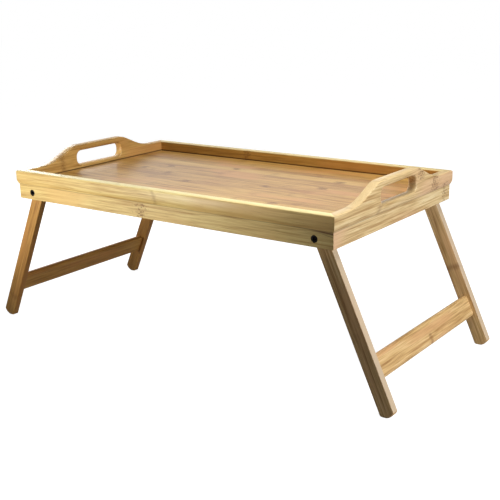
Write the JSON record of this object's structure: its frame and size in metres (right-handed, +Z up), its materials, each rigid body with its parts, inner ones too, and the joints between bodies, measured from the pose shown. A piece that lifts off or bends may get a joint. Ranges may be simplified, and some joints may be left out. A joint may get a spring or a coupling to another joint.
{
  "type": "folding bed tray table",
  "caption": "Folding bed tray table: mitred bamboo tray with raised handles and hand holes on splayed H-shaped leg frames that fold flat under the panel.",
  "frame": {"origin": "on the floor, under the middle of the unfolded tray", "axes": "+X along the tray to the right, -Y to the user's side, +Z up"},
  "size_m": [0.6344, 0.295, 0.2409],
  "materials": {
    "moulded_bamboo": "clear satin lacquer on pale bamboo, grain along each board",
    "strip_bamboo": "clear satin lacquer on laminated bamboo strips running lengthwise",
    "leg_bamboo": "clear satin lacquer on bamboo, grain along the leg",
    "black_bolt": "black oxide, semi-matt",
    "plated_washer": "zinc plated",
    "plated_nut": "zinc plated"
  },
  "bodies": {
    "tray": {"front_rail": "moulded_bamboo", "back_rail": "moulded_bamboo", "left_end_board": "moulded_bamboo", "right_end_board": "moulded_bamboo", "tray_panel": "strip_bamboo", "pivot_bolt_front_left": "black_bolt", "pivot_bolt_front_right": "black_bolt", "pivot_bolt_back_left": "black_bolt", "pivot_bolt_back_right": "black_bolt", "outer_washer_front_left": "plated_washer", "outer_washer_front_right": "plated_washer", "outer_washer_back_left": "plated_washer", "outer_washer_back_right": "plated_washer", "inner_washer_front_left": "plated_washer", "inner_washer_front_right": "plated_washer", "inner_washer_back_left": "plated_washer", "inner_washer_back_right": "plated_washer", "lock_nut_front_left": "plated_nut", "lock_nut_front_right": "plated_nut", "lock_nut_back_left": "plated_nut", "lock_nut_back_right": "plated_nut"},
    "left_leg_frame": {"leg_front_left": "leg_bamboo", "leg_back_left": "leg_bamboo", "cross_bar_left": "leg_bamboo"},
    "right_leg_frame": {"leg_front_right": "leg_bamboo", "leg_back_right": "leg_bamboo", "cross_bar_right": "leg_bamboo"}
  },
  "joints": [
    {"name": "left_leg_fold", "type": "hinge", "parent": "tray", "child": "left_leg_frame", "pos_m": [-0.22324, 0, 0.1922], "axis": [0, -1, 0], "range_deg": [0, 114.5]},
    {"name": "right_leg_fold", "type": "hinge", "parent": "tray", "child": "right_leg_frame", "pos_m": [0.22324, 0, 0.1922], "axis": [0, 1, 0], "range_deg": [0, 114.5]}
  ]
}
